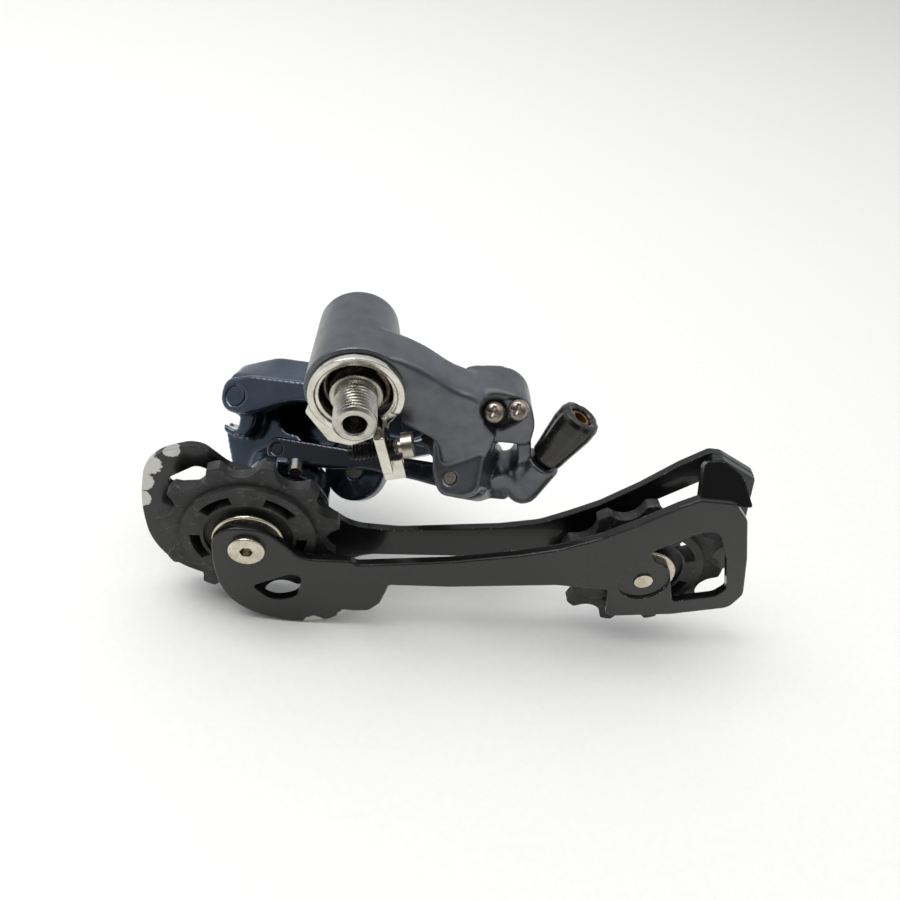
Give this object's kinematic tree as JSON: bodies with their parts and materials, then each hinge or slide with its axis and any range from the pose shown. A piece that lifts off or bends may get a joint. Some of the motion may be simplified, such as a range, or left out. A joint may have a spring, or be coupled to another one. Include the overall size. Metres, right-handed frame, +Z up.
{
  "type": "rear bicycle derailleur",
  "caption": "Long-cage rear derailleur with a slanted parallelogram, sprung pivots, toothed guide and tension pulleys, threaded hanger bolt and cable adjuster.",
  "frame": {"origin": "on the hanger bolt's axis, where the bolt's shoulder meets the hanger's outer face", "axes": "+X to the rear of the bicycle, along the folded-back cage; +Y away from the wheel, along the hanger bolt and the pulley axles; +Z up"},
  "size_m": [0.1604, 0.0622, 0.0878],
  "materials": {
    "steel_bolt": "machined",
    "chrome_plate": "polished",
    "screw_steel": "machined",
    "knuckle_grey": "anodised",
    "bushing_resin": "matt",
    "spring_steel": "oiled",
    "gloss_black_resin": "gloss",
    "brass": "worn",
    "link_black": "gloss",
    "link_grey": "gloss",
    "pin_steel": "riveted",
    "knuckle_black": "gloss",
    "cage_black": "satin",
    "pulley_resin": "matt",
    "bushing_metal": "machined",
    "nickel": "nickel"
  },
  "bodies": {
    "mount": {"mounting_bolt": "steel_bolt", "stopper_plate": "chrome_plate"},
    "tension_screw": {"b_tension_screw": "screw_steel"},
    "knuckle": {"b_knuckle": "knuckle_grey", "b_pivot_bushing": "bushing_resin", "b_spring": "spring_steel", "pin_inner_knuckle": "pin_steel"},
    "limit_high": {"limit_screw_high": "screw_steel"},
    "limit_low": {"limit_screw_low": "screw_steel"},
    "adjuster": {"barrel_adjuster": "gloss_black_resin", "adjuster_liner": "brass"},
    "outer_link": {"outer_link": "link_grey", "pin_outer_knuckle": "pin_steel", "pin_outer_cage": "pin_steel", "cable_clamp_plate": "steel_bolt"},
    "anchor_bolt": {"cable_anchor_bolt": "steel_bolt"},
    "inner_link": {"inner_link": "link_black", "pin_inner_cage": "pin_steel"},
    "cage_knuckle": {"p_knuckle": "knuckle_black", "p_pivot_bushing": "bushing_resin", "p_spring": "spring_steel"},
    "cage": {"inner_cage_plate": "cage_black", "outer_cage_plate": "cage_black", "p_axle": "steel_bolt", "axle_clip": "screw_steel", "p_seal_ring": "bushing_resin", "cage_stop_pin": "steel_bolt", "guide_pulley_bushing": "bushing_metal", "tension_pulley_bushing": "bushing_metal", "guide_bearing_caps": "nickel", "tension_bearing_caps": "nickel", "guide_pulley_bolt": "nickel", "tension_pulley_bolt": "nickel"},
    "guide_pulley": {"guide_pulley": "pulley_resin"},
    "tension_pulley": {"tension_pulley": "pulley_resin"}
  },
  "joints": [
    {"name": "b_pivot", "type": "hinge", "parent": "mount", "child": "knuckle", "pos_m": [0, 0.01, 0], "axis": [0, 1, 0], "range_deg": [0, 25], "stiffness_Nm_per_rad": 0.6, "springref_deg": -34.38},
    {"name": "tension_screw_turn", "type": "hinge", "parent": "mount", "child": "tension_screw", "pos_m": [0.0076, -0.0034, -0.0111], "axis": [0.9461, 0, 0.324], "range_deg": [-720, 720]},
    {"name": "shift", "type": "hinge", "parent": "knuckle", "child": "outer_link", "pos_m": [0.01906, 0.01885, -0.02253], "axis": [0.4209, 0.6313, -0.6514], "range_deg": [-64, 0], "stiffness_Nm_per_rad": 0.5, "springref_deg": 28.65},
    {"name": "inner_link_pivot", "type": "hinge", "parent": "knuckle", "child": "inner_link", "pos_m": [0.02763, 0.00379, -0.02545], "axis": [0.4209, 0.6313, -0.6514], "range_deg": [-66, 2]},
    {"name": "cage_knuckle_pivot", "type": "hinge", "parent": "outer_link", "child": "cage_knuckle", "pos_m": [-0.0253, 0.03621, -0.03436], "axis": [0.4209, 0.6313, -0.6514], "range_deg": [-2, 66]},
    {"name": "cage_pivot", "type": "hinge", "parent": "cage_knuckle", "child": "cage", "pos_m": [-0.014, 0.012, -0.0476], "axis": [0, 1, 0], "range_deg": [0, 90], "stiffness_Nm_per_rad": 0.25, "springref_deg": -45.84},
    {"name": "guide_pulley_spin", "type": "hinge", "parent": "cage", "child": "guide_pulley", "pos_m": [-0.022, 0.002, -0.048], "axis": [0, 1, 0], "continuous": true},
    {"name": "tension_pulley_spin", "type": "hinge", "parent": "cage", "child": "tension_pulley", "pos_m": [0.082, 0.002, -0.048], "axis": [0, 1, 0], "continuous": true},
    {"name": "limit_high_turn", "type": "hinge", "parent": "knuckle", "child": "limit_high", "pos_m": [0.0328, 0.0049, -0.0036], "axis": [0.3585, 0.7507, -0.5549], "range_deg": [-720, 720]},
    {"name": "limit_low_turn", "type": "hinge", "parent": "knuckle", "child": "limit_low", "pos_m": [0.0383, 0.0049, -0.0022], "axis": [0.3585, 0.7507, -0.5549], "range_deg": [-720, 720]},
    {"name": "adjuster_turn", "type": "hinge", "parent": "knuckle", "child": "adjuster", "pos_m": [0.0494, 0.008, -0.0192], "axis": [0.3531, 0.02, 0.9354], "range_deg": [-720, 720]},
    {"name": "anchor_bolt_turn", "type": "hinge", "parent": "outer_link", "child": "anchor_bolt", "pos_m": [0.00525, 0.02572, -0.04628], "axis": [0.4209, 0.6313, -0.6514], "range_deg": [-360, 360]}
  ],
  "couplings": [
    {"joint": "inner_link_pivot", "follows": "shift", "ratio": 1},
    {"joint": "cage_knuckle_pivot", "follows": "shift", "ratio": -1}
  ]
}
